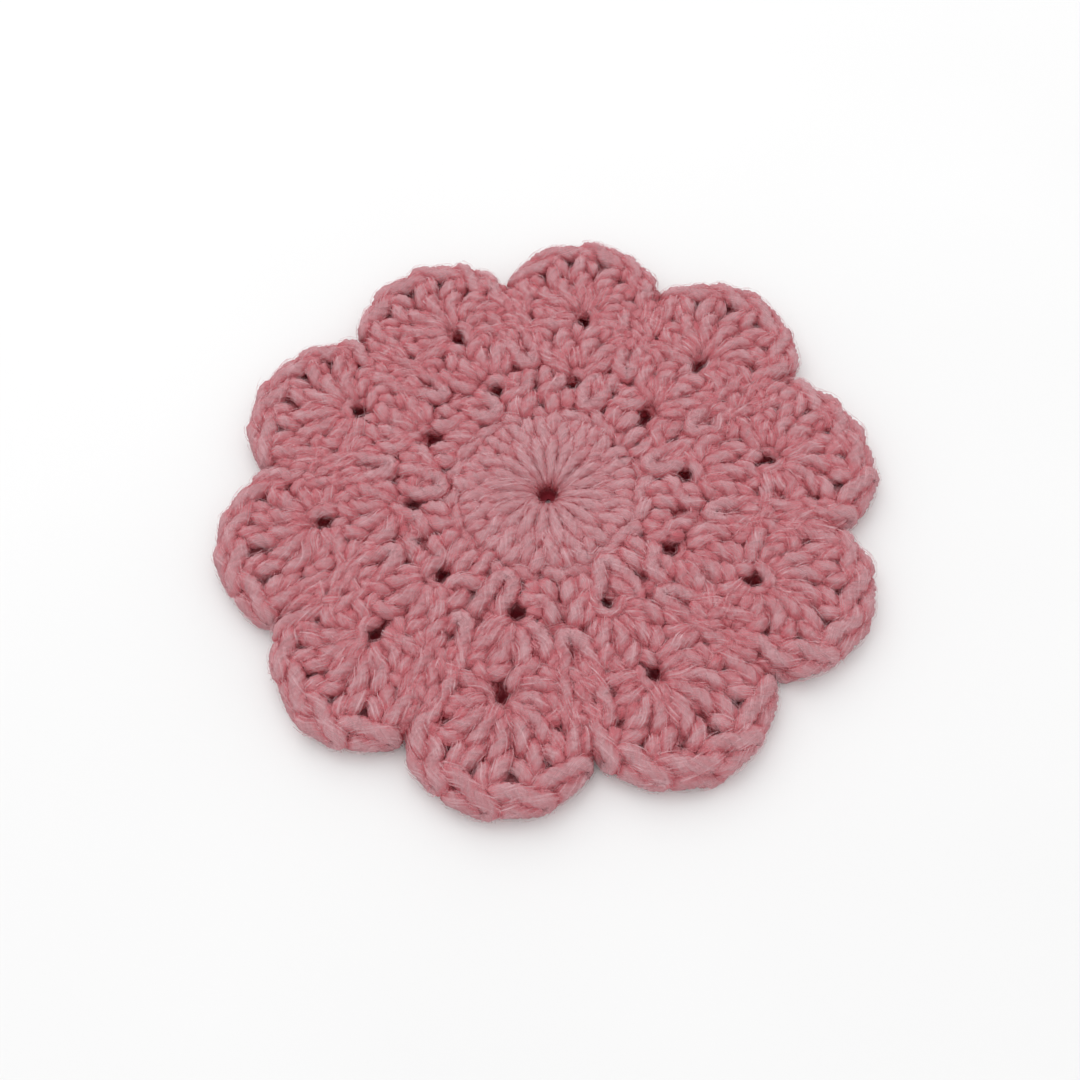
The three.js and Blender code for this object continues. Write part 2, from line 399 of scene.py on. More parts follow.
def petal_places(repeat):
    """The hole a petal's stitches fan out from, and each one's direction in degrees and head."""
    middle = repeat_middle(repeat)
    notch = PETALS[repeat - 1]["notch_at"] - (360 if repeat == 0 else 0)
    hole = polar(PETAL_HOLE, middle + PETAL_HOLE_AT)
    line = inset_edge(notch, PETALS[repeat]["notch_at"])
    seen = np.degrees(np.arctan2(*(line - hole).T[::-1]))
    seen = (seen - middle + 180) % 360 - 180
    centre = 0.5 * (seen[0] + seen[-1])
    places = []
    for place in range(PETAL_STITCHES):
        direction = centre + PETAL_FAN * (place - (PETAL_STITCHES - 1) / 2)
        head = line[np.argmin(np.abs(seen - direction))]
        if place in (0, PETAL_STITCHES - 1):
            head = hole + polar(PETAL_SIDE_REACH, middle + direction)
        places.append((middle + direction, head))
    return notch, hole, places


def petal_round():
    stitches = []
    for repeat in range(REPEATS):
        notch, hole, places = petal_places(repeat)
        between = polar(BETWEEN_FEET, repeat_middle(repeat - 1) + BETWEEN_AT)
        stitches.append(stitch("short", between, polar(BETWEEN_HEADS, notch), spread=0.9, lift=0.6))
        for direction, head in places:
            stitches.append(stitch("tall", hole + polar(FAN_RADIUS, direction), head, spread=0.4))
    return stitches


def openings():
    """The places the stitches are drawn open round: x, y and radius in mm."""
    pins = [(0.0, 0.0, MIDDLE_OPENING)]
    for repeat in range(REPEATS):
        for radius, angle, size in OPENINGS:
            pins.append((*polar(radius, repeat_middle(repeat) + angle), size))
        _, hole, places = petal_places(repeat)
        for (_, head), (_, after) in zip(places, places[1:]):
            between = 0.5 * (head + after)
            pins.append((*(between + GAP_INSET * unit(hole - between)), GAP_OPENING))
    return np.array(pins)


def sunk(place, pins):
    """How far the stitches dip at a place, in mm."""
    seam = SEAM_DEPTH * math.exp(-(np.linalg.norm(place) - SEAM_RADIUS) ** 2)
    clear = np.hypot(pins[:, 0] - place[0], pins[:, 1] - place[1]) / (pins[:, 2] * HOLE_REACH)
    return seam + HOLE_DEPTH * math.exp(-np.min(clear) ** 2)


def shaken(place, height, thickness, amount):
    """A point of the yarn's path, shaken a little: x, y, height and the strand's own thickness there, in mm."""
    shake = RNG.normal(0, amount, 3)
    return place[0] + shake[0], place[1] + shake[1], MID_HEIGHT + height + shake[2], thickness


def stitch_points(this, pins):
    """The yarn's path through a stitch."""
    kind, foot, head, spread = this["kind"], this["foot"], this["head"], this["spread"]
    out = unit(head - foot)
    side = np.array([-out[1], out[0]]) * (-1 if kind == "mirrored" else 1)
    sway = RNG.normal(0, SWAY, 3)[0]
    bend = RNG.normal(0, BEND) if kind == "tall" else 0.0
    lean = 0.0 if kind in ("tall", "long") else RNG.normal(0, LEAN)
    points = []
    for across, up, height in PATTERNS[kind]:
        up = up + bend * math.sin(math.pi * min(1.0, max(0.0, up)))
        width = spread + (1 - spread) * smoothstep(up / FULL_WIDTH_FROM)
        place = foot + (head - foot) * up + side * (across * width + sway * up + lean * up)
        slimness = 0.5 + 0.5 * min(1.0, FOOT_SLIMNESS + width)
        thickness = 2 * YARN_RADIUS * slimness * (TALL_SLIMNESS if kind == "tall" else 1.0)
        from_centre = math.hypot(place[0], place[1])
        if from_centre < DRAWN_WITHIN:
            thickness = np.interp(from_centre, DRAWN_AT, DRAWN_THICKNESS)
        if height > 0:
            height -= sunk(place, pins)
        points.append(shaken(place, height, thickness, SHAKE))
    return points


def link_points(this, after):
    """The yarn's path along the loop from a stitch to the next."""
    step = after["head"] - this["head"]
    along = unit(step)
    out = np.array([along[1], -along[0]])
    bulge = 4 * LINK_BULGE * np.linalg.norm(step)
    lift = min(this["lift"], after["lift"])
    points = []
    for share, across, outwards, height in LINK:
        outwards = outwards * (0.5 + 0.5 * lift) + bulge * share * (1 - share)
        place = this["head"] + step * share + along * across + out * outwards
        height = height * lift if height > 0 else height
        points.append(shaken(place, height, 2 * YARN_RADIUS, LINK_SHAKE))
    return points


def yarn_path(stitches, pins):
    """The closed path of a round's yarn: every stitch in turn, each ending in the loop to the next."""
    points = []
    for this, after in zip(stitches, stitches[1:] + stitches[:1]):
        points += stitch_points(this, pins)
        points += link_points(this, after)
    return np.array(points)


# Settling

def run_along(points):
    """How far along a line of points each of them is."""
    return np.concatenate([[0], np.cumsum(np.linalg.norm(np.diff(points[:, :3], axis=0), axis=1))])


def resampled(loop, step):
    """A smooth closed curve through the points, at even steps."""
    before, after, later = np.roll(loop, 1, 0), np.roll(loop, -1, 0), np.roll(loop, -2, 0)
    pieces = []
    for share in np.linspace(0, 1, CURVE_STEPS, endpoint=False):
        a = 2 * loop + (after - before) * share
        b = (2 * before - 5 * loop + 4 * after - later) * share ** 2
        c = (3 * loop - before - 3 * after + later) * share ** 3
        pieces.append(0.5 * (a + b + c))
    dense = np.stack(pieces, axis=1).reshape(-1, loop.shape[1])
    closed = np.vstack([dense, dense[:1]])
    run = run_along(closed)
    wanted = np.linspace(0, run[-1], round(run[-1] / step), endpoint=False)
    return np.column_stack([np.interp(wanted, run, closed[:, axis]) for axis in range(loop.shape[1])])


def numbered(loops):
    """Each point's loop and its place in it, for all the loops' points in turn, and each loop's size."""
    sizes = np.array([len(loop) for loop in loops])
    return np.repeat(np.arange(len(loops)), sizes), np.concatenate([np.arange(size) for size in sizes]), sizes


def near_pairs(points, loop_of, place_in, sizes, step):
    """Pairs of the yarn's points that lie near each other, other than close along it. Its points are a step apart."""
    tree = KDTree(len(points))
    for index, point in enumerate(points):
        tree.insert(point, index)
    tree.balance()
    found = [(index, other) for index, point in enumerate(points) for _, other, _ in tree.find_range(point, NEAR)]
    i, j = np.array(found).T
    keep = i < j
    i, j = i[keep], j[keep]
    apart = np.abs(place_in[i] - place_in[j])
    apart = np.minimum(apart, sizes[loop_of[i]] - apart)
    keep = (loop_of[i] != loop_of[j]) | (apart > math.ceil(NEAR / step))
    return i[keep], j[keep]


def settle(loops, pins):
    """Lets the strands push each other apart and pull themselves smooth, between the table and the work's top.

    A point comes with the strand's thickness, and leaves with the radius that the strand has room for.
    """
    points, thickness = np.vstack(loops)[:, :3], np.vstack(loops)[:, 3]
    loop_of, place_in, sizes = numbered(loops)
    starts = np.concatenate([[0], np.cumsum(sizes)[:-1]])
    before = starts[loop_of] + (place_in - 1) % sizes[loop_of]
    after = starts[loop_of] + (place_in + 1) % sizes[loop_of]
    anchor = points.copy()
    low = LOWEST * thickness
    for turn in range(SETTLING_TURNS):
        if turn % TURNS_A_SEARCH == 0:
            i, j = near_pairs(points, loop_of, place_in, sizes, PATH_STEP)
            contact = SQUASH * 0.5 * (thickness[i] + thickness[j])
        gap = points[i] - points[j]
        distance = np.linalg.norm(gap, axis=1) + NOT_ZERO
        push = gap * (np.clip(contact - distance, 0, None) * PUSH / distance)[:, None]
        touching = (distance < contact).astype(float)
        count = np.bincount(i, touching, len(points)) + np.bincount(j, touching, len(points))
        move = np.column_stack([
            np.bincount(i, part, len(points)) - np.bincount(j, part, len(points)) for part in push.T
        ])
        move /= np.sqrt(np.maximum(count, 1))[:, None]
        middle = 0.5 * (points[before] + points[after])
        points = points + move + SMOOTHING * (middle - points) + HOLD * (anchor - points)
        for x, y, radius in pins:
            aside = points[:, :2] - (x, y)
            distance = np.linalg.norm(aside, axis=1) + NOT_ZERO
            room = np.clip(radius + OPENING_ROOM * thickness - distance, 0, None)
            points[:, :2] += aside * (room * OPENING_PUSH / distance)[:, None]
        points[:, 2] = np.clip(points[:, 2], low, TOP_HEIGHT - low)
    i, j = near_pairs(points, loop_of, place_in, sizes, PATH_STEP)
    distance = np.linalg.norm(points[i] - points[j], axis=1)
    nearest = np.full(len(points), NEAR)
    np.minimum.at(nearest, i, distance)
    np.minimum.at(nearest, j, distance)
    radius = np.clip(FILL * nearest, SLIMMEST_RADIUS, 0.5 * thickness)
    for _ in range(RADIUS_PASSES):
        radius = 0.5 * radius + 0.25 * (radius[before] + radius[after])
    radius = np.minimum(radius, points[:, 2])
    return np.split(np.column_stack([points, radius]), np.cumsum(sizes)[:-1])


def yarn_loops(pins):
    """The closed loops of yarn: a starting ring and four rounds of stitches. Each point is x, y, z and radius."""
    angles = range(0, 360, RING_STEP)
    start = np.array([(*polar(RING_RADIUS, angle), MID_HEIGHT, RING_THICKNESS) for angle in angles])
    rounds = (first_round(), pair_round(), shell_round(), petal_round())
    paths = [start] + [yarn_path(stitches, pins[pins[:, 2] > DEEP_OPENING]) for stitches in rounds]
    loops = settle([resampled(path, PATH_STEP) for path in paths], pins)
    loops = [resampled(loop, SECTION_STEP) for loop in loops]
    for loop in loops:
        loop[:, 3] = np.minimum(loop[:, 3], loop[:, 2])
    return loops


# Strands

def placed(name, data):
    """A new object in the scene."""
    thing = bpy.data.objects.new(name, data)
    bpy.context.scene.collection.objects.link(thing)
    return thing


def finished_mesh(name, carrier):
    """The mesh that an object's curve or modifiers make, without the object."""
    bpy.context.view_layer.update()
    mesh = bpy.data.meshes.new_from_object(carrier.evaluated_get(bpy.context.evaluated_depsgraph_get()))
    mesh.name = name
    bpy.data.objects.remove(carrier)
    return mesh


def store(mesh, name, values):
    """Stores a number at each vertex."""
    mesh.attributes.new(name, "FLOAT", "POINT").data.foreach_set("value", values)


def vectors(items, name):
    """One vector of each item, as rows."""
    rows = np.empty(len(items) * 3)
    items.foreach_get(name, rows)
    return rows.reshape(-1, 3)


def outline_curve(name, radii):
    """A strand's cross-section as a closed curve, from its radius at each side."""
    curve = bpy.data.curves.new(name, "CURVE")
    curve.dimensions = "2D"
    spline = curve.splines.new("POLY")
    spline.points.add(len(radii) - 1)
    for index, (point, radius) in enumerate(zip(spline.points, radii)):
        angle = 2 * math.pi * index / len(radii)
        point.co = (radius * math.cos(angle), radius * math.sin(angle), 0, 1)
    spline.use_cyclic_u = True
    return placed(name, curve)


def ply_outline():
    """The yarn's cross-section, of radius 1: round plies with creases between them."""
    waves = [abs(math.sin(math.pi * index / PLY_SIDES)) for index in range(PLIES * PLY_SIDES)]
    return outline_curve("ply_outline", [1 - PLY_DEPTH * (1 - wave) ** PLY_ROUNDNESS for wave in waves])


def shares(loop, count):
    """Cuts a closed loop into open lengths that meet end to end, each cut made where the yarn lies low."""
    if count == 1:
        return [loop]
    size = len(loop)
    cuts = []
    for part in range(count):
        near = (np.arange(-CUT_SEARCH, CUT_SEARCH + 1) + part * size // count) % size
        cuts.append(int(near[np.argmin(loop[near, 2])]))
    turned = np.roll(loop, -cuts[0], 0)
    ends = [(cut - cuts[0]) % size for cut in cuts] + [size]
    turned = np.vstack([turned, turned[:1]])
    return [turned[start:end + 1] for start, end in zip(ends[:-1], ends[1:])]


def strand(name, length, closed, outline, pitch, fibre_run):
    """Sweeps an outline along a length of (x, y, z, radius), turning it once in each pitch."""
    curve = bpy.data.curves.new(name, "CURVE")
    curve.dimensions = "3D"
    curve.bevel_mode = "OBJECT"
    curve.bevel_object = outline
    curve.twist_mode = "MINIMUM"
    spline = curve.splines.new("POLY")
    spline.points.add(len(length) - 1)
    spline.points.foreach_set("co", np.column_stack([length[:, :3] * MM, np.ones(len(length))]).ravel())
    spline.points.foreach_set("radius", length[:, 3] * MM)
    spline.use_cyclic_u = closed
    run = run_along(length)
    turns = round(run[-1] / pitch)
    spline.points.foreach_set("tilt", run / run[-1] * turns * 2 * math.pi)
    mesh = finished_mesh(name, placed(name + "_path", curve))
    mesh.flip_normals()
    mesh.shade_smooth()
    sides = len(outline.data.splines[0].points)
    if len(mesh.vertices) != len(length) * sides:
        raise RuntimeError(f"{name} has {len(mesh.vertices)} vertices")
    around = np.tile(np.arange(sides) * 2 * math.pi / sides, len(length))
    fibre = [FIBRE_ROUND * np.cos(around), FIBRE_ROUND * np.sin(around), fibre_run * np.repeat(run, sides)]
    fibre = np.column_stack(fibre).ravel()
    mesh.attributes.new("fibre", "FLOAT_VECTOR", "POINT").data.foreach_set("vector", fibre)
    if not closed:
        shape = bmesh.new()
        shape.from_mesh(mesh)
        bmesh.ops.holes_fill(shape, edges=[edge for edge in shape.edges if edge.is_boundary])
        shape.to_mesh(mesh)
        shape.free()
    return placed(name, mesh)


def clearances(piece, places, points, pairs):
    """Each vertex's clearance in mm from the other strands: small in a crease, large on the open top."""
    vertices = vectors(piece.data.vertices, "co").reshape(len(places), -1, 3) / MM
    i, j = pairs
    row = np.full(len(points), -1)
    row[places] = np.arange(len(places))
    mine = row[i] >= 0
    i, j = row[i[mine]], j[mine]
    gap = np.linalg.norm(vertices[i] - points[j][:, None, :3], axis=2) - points[j][:, None, 3]
    nearest = np.full(vertices.shape[:2], OPEN_CLEARANCE)
    np.minimum.at(nearest, i, gap)
    return nearest.ravel()


def shade(piece, clear):
    """Stores each vertex's clearance, and how deep in the work it lies: 1 low between stitches, 0 on top, at the edge
    and underneath. The materials paint shade by both. Inside the work, a steep side counts as nearer to its neighbour,
    so it gets more painted crease shade."""
    x, y, z = vectors(piece.data.vertices, "co").T / MM
    turns = np.arange(0, 361, 2)
    edge = np.interp(np.degrees(np.arctan2(y, x)) % 360, turns, [edge_radius(turn) for turn in turns])
    inside = np.clip((edge - np.hypot(x, y) - EDGE_MARGIN) / EDGE_FADE, 0, 1)
    low = np.clip((DEEP_BELOW - z) / DEEP_FADE, 0, 1) * np.clip((z - UNDER_ABOVE) / UNDER_FADE, 0, 1)
    # Painted shade on steep sides: they count as nearer their neighbour
    steep = np.clip(STEEP_BELOW - vectors(piece.data.vertex_normals, "vector")[:, 2], 0, 1)
    store(piece.data, "clearance", clear - SIDE_SHADE * inside * steep)
    store(piece.data, "depth", inside * low)


# Fibres

def lying_fibres(points, along, raised, count):
    """Three points along each of many fine fibres that lie on the strands, some with a loose end."""
    chosen = RNG.choice(len(points), count, p=raised / raised.sum())
    middle, radius, axis = points[chosen, :3], points[chosen, 3:], along[chosen]
    away = RNG.normal(0, FIBRE_SPREAD, (count, 3)) + (0, 0, FIBRE_RISE)
    away = unit_rows(away - axis * (away * axis).sum(axis=1, keepdims=True))
    across = np.cross(axis, away)
    length = RNG.uniform(*FIBRE_LENGTH, (count, 1))
    slant = RNG.normal(0, FIBRE_SLANT, (count, 1))
    loose = RNG.random((count, 1)) < LOOSE_SHARE
    lines = []
    for share, clear in FIBRE_POINTS:
        turn = length * np.sin(slant) * share / np.maximum(radius, LEAST_BEND_RADIUS)
        side = away * np.cos(turn) + across * np.sin(turn)
        clear = clear + np.where(loose, LOOSE_LIFT * (share + 0.5), 0.0)
        stray = RNG.normal(0, LOOSE_STRAY, (count, 3)) * np.where(loose, share + 0.5, 0.0)
        lines.append(middle + axis * length * np.cos(slant) * share + side * (radius + clear) + stray)
    return np.stack(lines, axis=1)


def bridging_fibres(points, along, raised, pairs, count):
    """Three points along each of many fine fibres that reach over the crease from a strand to the next one."""
    i, j = pairs
    both = np.minimum(raised[i], raised[j])
    chosen = RNG.choice(len(i), count, p=both / both.sum())
    i, j = i[chosen], j[chosen]
    over = unit_rows(points[j, :3] - points[i, :3], TINY)
    slide = RNG.normal(0, BRIDGE_SLIDE, (count, 1))
    ends = []
    for place, toward in ((i, over), (j, -over)):
        lean = toward * RNG.uniform(0.0, BRIDGE_LEAN, (count, 1)) + (0, 0, 1)
        lean = unit_rows(lean - along[place] * (lean * along[place]).sum(axis=1, keepdims=True), TINY)
        shift = along[place] * (slide + RNG.normal(0, BRIDGE_SLIDE, (count, 1)))
        ends.append(points[place, :3] + lean * points[place, 3:] + shift)
    lift = RNG.uniform(-BRIDGE_LIFT, BRIDGE_LIFT, (count, 1)) * (0, 0, 1)
    return np.stack([ends[0], 0.5 * (ends[0] + ends[1]) + lift, ends[1]], axis=1)


def fibre_lines(loops, pairs):
    """A piece's fibres, three points along each."""
    points = np.vstack(loops)
    along = unit_rows(np.vstack([np.roll(loop[:, :3], -1, 0) - np.roll(loop[:, :3], 1, 0) for loop in loops]))
    raised = LEAST_FIBRES + np.clip(points[:, 2] / TOP_HEIGHT, 0, 1) ** 2
    bridges = int(FIBRES_A_PIECE * BRIDGE_SHARE)
    lying = lying_fibres(points, along, raised, FIBRES_A_PIECE - bridges)
    lines = np.concatenate([lying, bridging_fibres(points, along, raised, pairs, bridges)])
    lines[..., 2] = np.clip(lines[..., 2], LOWEST_FIBRE, HIGHEST_FIBRE)
    return lines


def loose_fibres(name, lines):
    """The fibres as one mesh of fine bent spindles."""
    shape = bmesh.new()
    bmesh.ops.create_uvsphere(shape, u_segments=3, v_segments=2, radius=1.0)
    mesh = bpy.data.meshes.new(name + "_first")
    shape.to_mesh(mesh)
    shape.free()
    spindle = vectors(mesh.vertices, "co")
    first = placed(name + "_first", mesh)
    copies = first.modifiers.new("copies", "ARRAY")
    copies.count = len(lines)
    copies.use_relative_offset = False
    mesh = finished_mesh(name, first)
    along = unit_rows(lines[:, 2] - lines[:, 0], TINY)
    side = unit_rows(np.cross(along, RNG.normal(0, 1, (len(lines), 3))), TINY)
    across = np.cross(along, side)
    thick = FIBRE_RADIUS * RNG.uniform(*FIBRE_THICKNESSES, (len(lines), 1))
    places = []
    for x, y, z in spindle:
        if abs(z) > 0.5:
            places.append(lines[:, 2] if z > 0 else lines[:, 0])
        else:
            places.append(lines[:, 1] + thick * (side * x + across * y))
    mesh.vertices.foreach_set("co", (np.stack(places, axis=1) * MM).ravel())
    return placed(name, mesh)


# Ground

def put_in_order(shape):
    """Sorts a mesh's vertices and faces by their places, so that they come in the same order in every run."""
    vertex_places = {vertex: tuple(vertex.co) for vertex in shape.verts}
    face_places = {face: tuple(face.calc_center_median()) for face in shape.faces}
    for items, places in ((shape.verts, vertex_places), (shape.faces, face_places)):
        ranks = {item: rank for rank, item in enumerate(sorted(items, key=places.get))}
        items.sort(key=ranks.get)


def ground_sheet(pins):
    """The closed ground of the work, inside the strands: a thin layer that follows the edge and dips at openings."""
    shape = bmesh.new()
    bmesh.ops.create_circle(shape, segments=GROUND_SIDES, radius=GROUND_HOLE)
    edges = list(shape.edges)
    for share in np.linspace(0, 1, GROUND_RINGS + 1)[1:]:
        ring = bmesh.ops.extrude_edge_only(shape, edges=edges)["geom"]
        edges = [item for item in ring if isinstance(item, bmesh.types.BMEdge)]
        for vertex in (item for item in ring if isinstance(item, bmesh.types.BMVert)):
            degrees = math.degrees(math.atan2(vertex.co.y, vertex.co.x))
            outer = edge_radius(degrees) - GROUND_INSET
            vertex.co.xy = polar(GROUND_HOLE + (outer - GROUND_HOLE) * share, degrees)
    for vertex in shape.verts:
        x, y, _ = vertex.co
        clear = np.min(np.hypot(pins[:, 0] - x, pins[:, 1] - y) - pins[:, 2])
        dimple = GROUND_DIMPLE * (1 - smoothstep((clear + DIMPLE_INSIDE) / DIMPLE_FADE))
        wave = GROUND_WAVE * math.sin(GROUND_WAVE_TURN * x) * math.cos(GROUND_WAVE_TURN * y)
        vertex.co.z = GROUND_HEIGHT - dimple + wave
    shape.normal_update()
    bmesh.ops.solidify(shape, geom=list(shape.faces), thickness=GROUND_THICKNESS)
    bmesh.ops.recalc_face_normals(shape, faces=shape.faces)
    bmesh.ops.scale(shape, vec=(MM, MM, MM), verts=shape.verts)
    put_in_order(shape)
    area = sum(face.calc_area() for face in shape.faces) / 2
    mesh = bpy.data.meshes.new("ground_sheet")
    shape.to_mesh(mesh)
    shape.free()
    return placed("ground_sheet", mesh), area


# Materials

class Field:
    """A value that varies over a surface. Arithmetic on it adds Math nodes."""

    def __init__(self, tree, socket):
        self.tree = tree
        self.socket = socket

    def math(self, operation, first, second):
        node = add_node(self.tree, "Math", {"operation": operation}, {0: first, 1: second})
        return Field(self.tree, node.outputs[0])

    def __add__(self, other):
        return self.math("ADD", self, other)

    def __radd__(self, other):
        return self.math("ADD", other, self)

    def __sub__(self, other):
        return self.math("SUBTRACT", self, other)

    def __rsub__(self, other):
        return self.math("SUBTRACT", other, self)

    def __mul__(self, other):
        return self.math("MULTIPLY", self, other)

    def __rmul__(self, other):
        return self.math("MULTIPLY", other, self)

    def __truediv__(self, other):
        return self.math("DIVIDE", self, other)

    def __rtruediv__(self, other):
        return self.math("DIVIDE", other, self)


def fill(tree, socket, value):
    """Links a field or a socket into an input, or sets a plain value."""
    if isinstance(value, Field):
        value = value.socket
    if isinstance(value, bpy.types.NodeSocket):
        tree.links.new(value, socket)
    else:
        socket.default_value = value


def add_node(tree, kind, settings=None, inputs=None):
    """Adds a node of a type, sets its settings, then fills its inputs by name or number, and gives the node."""
    node = tree.nodes.new("ShaderNode" + kind)
    for name, value in (settings or {}).items():
        setattr(node, name, value)
    for name, value in (inputs or {}).items():
        fill(tree, node.inputs[name], value)
    return node


def mixed(tree, factor, low, high):
    """A colour between two colours, by a factor."""
    return add_node(tree, "Mix", {"data_type": "RGBA"}, {0: factor, 6: low, 7: high}).outputs[2]


def clamped(field):
    return Field(field.tree, add_node(field.tree, "Clamp", inputs={"Value": field}).outputs["Result"])


def noise(tree, place, scale, detail=2.0, roughness=0.5):
    inputs = {"Vector": place, "Scale": scale, "Detail": detail, "Roughness": roughness}
    return Field(tree, add_node(tree, "TexNoise", inputs=inputs).outputs["Fac"])


def stored(tree, name):
    """A number that the mesh has stored at each vertex."""
    return Field(tree, add_node(tree, "Attribute", {"attribute_name": name}).outputs["Fac"])


def fibre_place(tree):
    """A place in the pattern that runs along a strand."""
    return add_node(tree, "Attribute", {"attribute_name": "fibre"}).outputs["Vector"]


def object_place(tree):
    return add_node(tree, "TexCoord").outputs["Object"]


def add_bump(tree, shader, height, strength, distance):
    """Bump from a height field, its distance in mm."""
    bump = add_node(tree, "Bump", inputs={"Strength": strength, "Distance": distance * MM, "Height": height})
    fill(tree, shader.inputs["Normal"], bump.outputs["Normal"])


def new_material(name, roughness=YARN_ROUGHNESS, specular=0.5):
    material = bpy.data.materials.new(name)
    material.use_nodes = True
    shader = material.node_tree.nodes["Principled BSDF"]
    shader.inputs["Roughness"].default_value = roughness
    shader.inputs["Specular IOR Level"].default_value = specular
    return material, material.node_tree, shader


def yarn_material():
    """Soft pink yarn: stripes of fibre along the plies, paler on top, with painted shade deeper and redder in the
    creases, the ply grooves, on steep sides and low between the stitches.
    """
    material, tree, shader = new_material("pink_yarn", specular=0.0)
    place = object_place(tree)
    stripes = noise(tree, fibre_place(tree), 3.0, 5.0, 0.6)
    clouds = noise(tree, place, 140.0)
    fluff = noise(tree, place, 2600.0)
    # Darker streaks: random stripes of fibre, and painted shade in the grooves between the plies
    striped_and_groove_shaded = clamped((stripes - 0.35) * 2.6 - stored(tree, "groove") * 0.5)
    cloudy = clamped((clouds - 0.4) * 1.2)
    # Painted shade: darker and redder where the strand comes near the next one
    open_air = clamped(stored(tree, "clearance") / CREASE_WIDTH)
    # Painted shade: deep red low between the stitches, away from the edge
    deep = clamped(stored(tree, "depth") * 1.5 - 0.2)
    lit = mixed(tree, cloudy, mixed(tree, striped_and_groove_shaded, YARN_STRIPE_AND_GROOVE_SHADE, YARN_CLOUD), YARN_PALE)
    creased = mixed(tree, open_air, YARN_PAINTED_CREASE_SHADE, lit)
    fill(tree, shader.inputs["Base Color"], mixed(tree, deep, creased, YARN_PAINTED_DEEP_SHADE))
    add_bump(tree, shader, stripes * 0.8 + fluff * 0.2, strength=0.8, distance=0.6)
    return material


def fuzz_material():
    """The haze of fine fibres round the yarn: streaks along it with nothing between them, and clear from within. Its
    colour has painted shade, deeper and redder in the creases and low between the stitches.
    """
    material, tree, shader = new_material("yarn_fuzz", specular=0.0)
    streaks = noise(tree, fibre_place(tree), 7.0)
    patches = noise(tree, object_place(tree), 700.0)
    # Painted shade on the fuzz: redder in the creases and low down
    open_air = clamped(stored(tree, "clearance") / CREASE_WIDTH + 0.15)
    deep = clamped(stored(tree, "depth") * 1.2)
    lit = mixed(tree, clamped((patches - 0.25) * 1.7), YARN_CLOUD, YARN_PALE)
    creased = mixed(tree, open_air, YARN_PAINTED_SHADE_AND_DARK_FIBRE, lit)
    fill(tree, shader.inputs["Base Color"], mixed(tree, deep, creased, YARN_PAINTED_SHADE_AND_DARK_FIBRE))
    inner_side = Field(tree, add_node(tree, "NewGeometry").outputs["Backfacing"])
    thickness = clamped((streaks + patches * 0.3 - 0.62) * 3.2)
    fill(tree, shader.inputs["Alpha"], thickness * (1 - inner_side))
    return material


def fibre_material():
    """Single fibres of the yarn, some paler than others."""
    material, tree, shader = new_material("loose_pink_fibre", specular=0.0)
    pale = clamped((noise(tree, object_place(tree), 500.0, 1.0) - 0.3) * 2.5)
    fill(tree, shader.inputs["Base Color"], mixed(tree, pale, YARN_PAINTED_SHADE_AND_DARK_FIBRE, YARN_STRIPE_AND_GROOVE_SHADE))
    return material


def ground_material():
    """The same yarn deep between the stitches, where little light reaches it: a sheet coloured with painted shade,
    darkest low down.
    """
    material, tree, shader = new_material("shaded_yarn")
    place = object_place(tree)
    fluff = noise(tree, place, 900.0, 3.0)
    height = Field(tree, add_node(tree, "SeparateXYZ", inputs={"Vector": place}).outputs["Z"]) / MM
    # Painted shade: the ground is darkest low down, paler higher up
    raised = clamped(clamped((height - 1.2) / 1.2) * (0.5 + fluff * 0.8))
    fill(tree, shader.inputs["Base Color"], mixed(tree, raised, GROUND_PAINTED_SHADE, YARN_PAINTED_CREASE_SHADE))
    add_bump(tree, shader, fluff, strength=0.7, distance=0.4)
    return material


def floor_material():
    """A plain pale table top, a little cloudy."""
    material, tree, shader = new_material("pale_floor", roughness=0.9)
    clouds = noise(tree, object_place(tree), 12.0)
    fill(tree, shader.inputs["Base Color"], mixed(tree, clouds, FLOOR_GREY, FLOOR_PALE))
    return material


# View: the camera in pixels, mm and degrees, the stage and its light in metres and watts

FOCAL_PIXELS = 1294.9
PICTURE_PIXELS = 1080
SENSOR = 36.0
CAMERA_ELEVATION = 58.86
CAMERA_ROLL = -5.77
CAMERA_DISTANCE = 215.9
CAMERA_TARGET = (-2.06, -8.54, 2.5)
NEAREST_SEEN = 0.01
FLOOR_REACH = 1.5
FLOOR_GREY = (0.80, 0.80, 0.80, 1)
FLOOR_PALE = (0.84, 0.84, 0.84, 1)
STUDIO_BRIGHTNESS = 1.01
WINDOW_PLACE = (-0.15, 0.45, 0.6)
WINDOW_SIZE = 0.8
WINDOW_POWER = 1.7


def add_camera():
    elevation, roll = math.radians(CAMERA_ELEVATION), math.radians(CAMERA_ROLL)
    right = Vector((1, 0, 0))
    up = Vector((0, math.sin(elevation), math.cos(elevation)))
    back = Vector((0, -math.cos(elevation), math.sin(elevation)))
    turned_right = math.cos(roll) * right + math.sin(roll) * up
    turned_up = -math.sin(roll) * right + math.cos(roll) * up
    data = bpy.data.cameras.new("camera")
    data.lens = FOCAL_PIXELS / PICTURE_PIXELS * SENSOR
    data.sensor_width = SENSOR
    data.clip_start = NEAREST_SEEN
    matrix = Matrix((turned_right, turned_up, back)).transposed().to_4x4()
    matrix.translation = (Vector(CAMERA_TARGET) + back * CAMERA_DISTANCE) * MM
    camera = placed("camera", data)
    camera.matrix_world = matrix
    bpy.context.scene.camera = camera


def add_window():
    """The soft light of a window, aimed at the middle of the work."""
    data = bpy.data.lights.new("window", "AREA")
    data.shape = "DISK"
    data.size = WINDOW_SIZE
    data.energy = WINDOW_POWER
    turn = Vector(WINDOW_PLACE).to_track_quat("Z", "Y").to_matrix().to_4x4()
    placed("window", data).matrix_world = Matrix.Translation(WINDOW_PLACE) @ turn


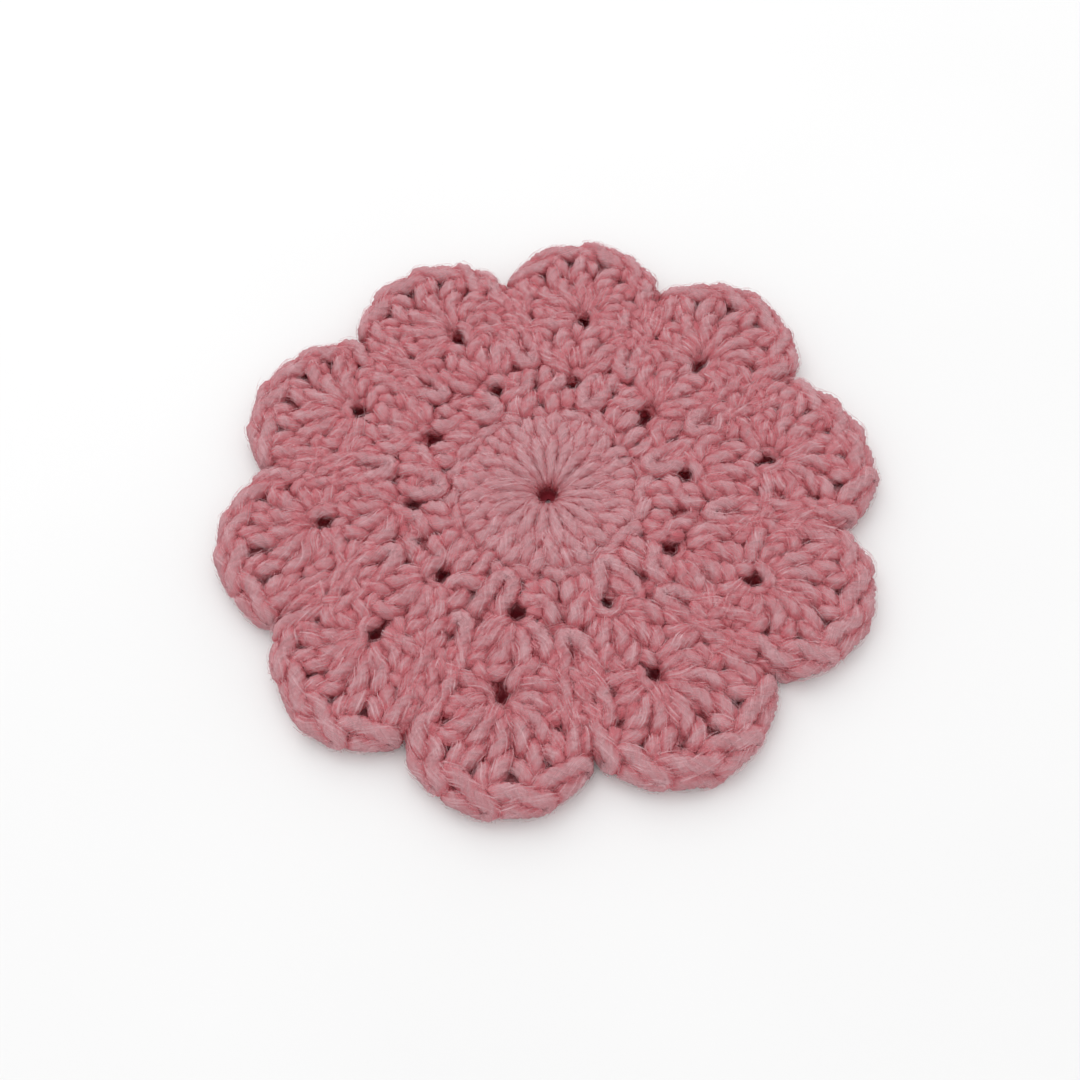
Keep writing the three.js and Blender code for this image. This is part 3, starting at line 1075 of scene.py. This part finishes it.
def add_stage():
    shape = bmesh.new()
    bmesh.ops.create_grid(shape, x_segments=1, y_segments=1, size=FLOOR_REACH)
    mesh = bpy.data.meshes.new("floor")
    shape.to_mesh(mesh)
    shape.free()
    mesh.materials.append(floor_material())
    placed("floor", mesh)
    world = bpy.data.worlds.new("studio")
    world.use_nodes = True
    background = world.node_tree.nodes["Background"]
    background.inputs["Color"].default_value = (1, 1, 1, 1)
    background.inputs["Strength"].default_value = STUDIO_BRIGHTNESS
    bpy.context.scene.world = world
    add_window()
    bpy.context.scene.view_settings.view_transform = "Standard"


# Building

def dress(piece, material):
    """Gives a piece its material and says what it stands for."""
    piece.data.materials.clear()
    piece.data.materials.append(material)
    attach(piece, "root")
    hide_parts("coaster")
    return piece


def yarn_and_fuzz(loops, pairs):
    """Every loop's strand of plied yarn, and the fuzz round it."""
    yarn = yarn_material()
    fuzz = fuzz_material()
    plies = ply_outline()
    round_outline = outline_curve("round_outline", [1.0] * FUZZ_SIDES)
    points = np.vstack(loops)
    pieces = []
    first = 0
    for loop, (name, count) in zip(loops, YARN_PIECES.items()):
        # The first round gets lighter painted crease shade
        crease_shade_easing = RING_CREASE_SHADE_EASING if name == "yarn_ring" else 0.0
        for part, length in enumerate(shares(loop, count)):
            label = name if count == 1 else f"{name}_{part + 1}"
            piece = strand(label, length, count == 1, plies, PLY_PITCH, YARN_FIBRE_RUN)
            start = int(np.argmin(np.linalg.norm(loop[:, :3] - length[0, :3], axis=1)))
            places = first + (start + np.arange(len(length))) % len(loop)
            shade(piece, clearances(piece, places, points, pairs) + crease_shade_easing)
            # The ply grooves, where the yarn's material paints shade
            groove = np.arange(PLIES * PLY_SIDES) % PLY_SIDES == 0
            store(piece.data, "groove", np.tile(groove, len(length)).astype(float))
            pieces.append(dress(piece, yarn))
        length = resampled(loop, FUZZ_STEP)
        length[:, 3] = np.minimum(length[:, 3] + FUZZ_DEPTH, length[:, 2])
        piece = strand(name.replace("yarn", "fuzz"), length, True, round_outline, FUZZ_PITCH, FUZZ_FIBRE_RUN)
        places = first + np.arange(len(length)) * len(loop) // len(length)
        shade(piece, clearances(piece, places, points, pairs) + FUZZ_DEPTH + crease_shade_easing)
        pieces.append(dress(piece, fuzz))
        first += len(loop)
    bpy.data.objects.remove(plies)
    bpy.data.objects.remove(round_outline)
    return pieces


def build():
    add_camera()
    add_stage()
    pins = openings()
    loops = yarn_loops(pins)
    pairs = near_pairs(np.vstack(loops)[:, :3], *numbered(loops), SECTION_STEP)
    pairs = (np.concatenate(pairs), np.concatenate(pairs[::-1]))
    yarns = yarn_and_fuzz(loops, pairs)
    fibre = fibre_material()
    for part in range(FIBRE_PIECES):
        yarns.append(dress(loose_fibres(f"loose_fibres_{part + 1}", fibre_lines(loops, pairs)), fibre))
    ground, area = ground_sheet(pins[pins[:, 2] > DEEP_OPENING])
    dress(ground, ground_material())


build()
